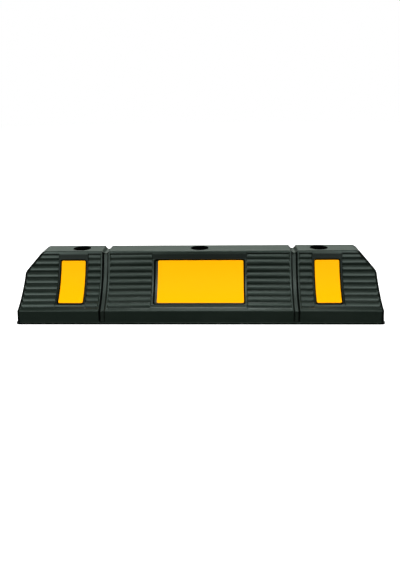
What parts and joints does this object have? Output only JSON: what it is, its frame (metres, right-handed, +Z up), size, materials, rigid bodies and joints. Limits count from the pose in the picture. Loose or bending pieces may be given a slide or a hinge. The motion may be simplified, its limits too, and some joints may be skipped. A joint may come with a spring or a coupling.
{
  "type": "parking wheel stop",
  "caption": "Low moulded rubber wheel stop with concave ribbed faces, recessed yellow reflective panels, cross grooves and counterbored anchor holes.",
  "frame": {"origin": "centre of the base, on the ground", "axes": "+X along the stop, -Y out of the front face, +Z up"},
  "size_m": [0.558, 0.159, 0.099],
  "materials": {
    "black_rubber": "moulded, satin",
    "reflective_film": "glossy retroreflective film",
    "zinc_steel": "zinc plated"
  },
  "bodies": {
    "root": {"rubber_body": "black_rubber", "front_centre_reflector": "reflective_film", "front_left_reflector": "reflective_film", "front_right_reflector": "reflective_film", "rear_centre_reflector": "reflective_film", "rear_left_reflector": "reflective_film", "rear_right_reflector": "reflective_film", "left_anchor_washer": "zinc_steel", "centre_anchor_washer": "zinc_steel", "right_anchor_washer": "zinc_steel"}
  },
  "joints": []
}
